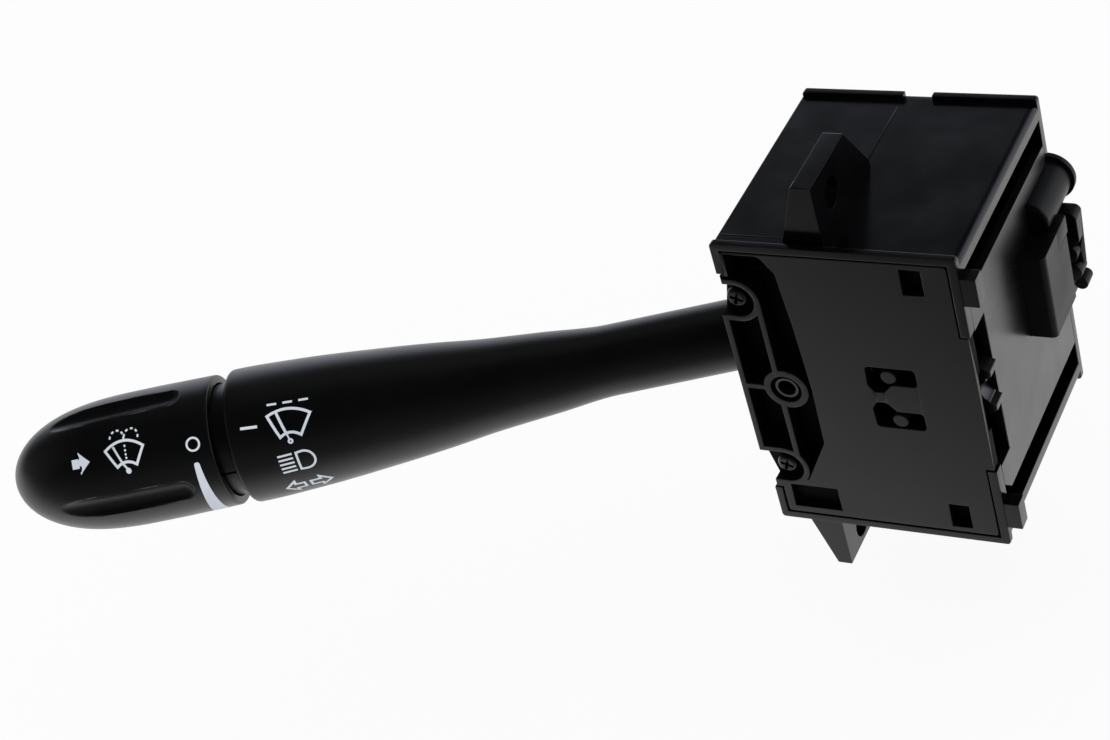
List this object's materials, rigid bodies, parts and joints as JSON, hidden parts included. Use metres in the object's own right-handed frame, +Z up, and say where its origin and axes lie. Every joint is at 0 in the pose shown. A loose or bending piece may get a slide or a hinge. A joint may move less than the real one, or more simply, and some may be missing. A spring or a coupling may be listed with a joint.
{
  "type": "combination stalk switch",
  "caption": "Steering-column stalk switch: a box-shaped switch block with mounting ears, a tapered lever and a fluted end knob.",
  "frame": {"origin": "centre of the upper mounting ear's hole, halfway through the ear", "axes": "+X from the lever towards the switch block and the steering column, +Y away from the driver, +Z up; the lever leaves to -X and leans towards the driver"},
  "size_m": [0.218, 0.1185, 0.104],
  "materials": {
    "housing_plastic": "moulded black plastic with a soft sheen",
    "cover_plastic": "satin black moulding",
    "carrier_plastic": "satin black moulding",
    "lever_plastic": "fine-textured matte black",
    "lever_core_plastic": "plain black moulding",
    "natural_plastic": "uncoloured acetal",
    "screw_steel": "black zinc plated",
    "pin_steel": "ground steel",
    "spring_steel": "drawn wire",
    "contact_brass": "stamped strip"
  },
  "bodies": {
    "base": {"housing": "housing_plastic", "cover": "cover_plastic", "cover_screws": "screw_steel", "contact_carrier": "carrier_plastic", "connector_shroud": "carrier_plastic", "connector_terminals": "contact_brass", "guide_tube": "carrier_plastic", "detent_track": "natural_plastic", "turn_contacts": "contact_brass"},
    "cradle": {"turn_cradle": "natural_plastic", "pivot_tube": "carrier_plastic", "beam_pin": "pin_steel", "detent_plunger": "natural_plastic", "detent_spring": "spring_steel", "beam_contacts": "contact_brass"},
    "turn_contact_slide": {"turn_slider": "natural_plastic", "turn_bridge": "contact_brass"},
    "lever": {"lever_arm": "lever_plastic", "lever_root": "lever_core_plastic", "wiper_contact_plate": "natural_plastic", "wiper_contacts": "contact_brass", "washer_contact": "contact_brass", "lever_end_plate": "lever_core_plastic"},
    "beam_contact_slide": {"beam_slider": "natural_plastic", "beam_tips": "contact_brass", "beam_springs": "spring_steel"},
    "wiper_rotor": {"wiper_shaft": "lever_core_plastic", "wiper_rotor_disc": "natural_plastic", "wiper_brushes": "contact_brass", "knob_sleeve": "lever_plastic"},
    "knob": {"end_knob": "lever_plastic", "washer_push_rod": "natural_plastic", "washer_spring": "spring_steel"},
    "cancel_slide": {"cancel_carriage": "carrier_plastic", "cancel_spring": "spring_steel", "guide_pins": "cover_plastic"},
    "cancel_swing": {"cancel_pawl": "carrier_plastic"}
  },
  "joints": [
    {"name": "turn_signal_pivot", "type": "hinge", "parent": "base", "child": "cradle", "pos_m": [-0.01257, 0, -0.0436], "axis": [0, 1, 0], "range_deg": [-11, 11]},
    {"name": "turn_contact_travel", "type": "slide", "parent": "base", "child": "turn_contact_slide", "axis": [0, 0, 1], "range_m": [-0.0051, 0.0051]},
    {"name": "beam_pivot", "type": "hinge", "parent": "cradle", "child": "lever", "pos_m": [-0.01257, 0.01325, -0.0436], "axis": [0, 0, 1], "range_deg": [0, 7], "stiffness_Nm_per_rad": 0.6},
    {"name": "beam_contact_travel", "type": "slide", "parent": "cradle", "child": "beam_contact_slide", "axis": [0, 1, 0], "range_m": [0, 0.00155], "deforming": ["beam_springs"]},
    {"name": "wiper_turn", "type": "hinge", "parent": "lever", "child": "wiper_rotor", "pos_m": [-0.01257, 0.01325, -0.0436], "axis": [-0.9014, -0.433, 0], "range_deg": [0, 85]},
    {"name": "washer_push", "type": "slide", "parent": "wiper_rotor", "child": "knob", "axis": [0.9014, 0.433, 0], "range_m": [0, 0.0025], "stiffness_N_per_m": 800, "deforming": ["washer_spring"]},
    {"name": "cancel_travel", "type": "slide", "parent": "base", "child": "cancel_slide", "axis": [1, 0, 0], "range_m": [0, 0.003], "stiffness_N_per_m": 150, "deforming": ["cancel_spring"]},
    {"name": "cancel_pivot", "type": "hinge", "parent": "cancel_slide", "child": "cancel_swing", "pos_m": [0.01132, 0, -0.04385], "axis": [0, 1, 0], "range_deg": [-15, 15], "stiffness_Nm_per_rad": 0.02}
  ],
  "couplings": [
    {"joint": "turn_contact_travel", "follows": "turn_signal_pivot", "m_per_rad": -0.026},
    {"joint": "beam_contact_travel", "follows": "beam_pivot", "m_per_rad": 0.0123}
  ]
}
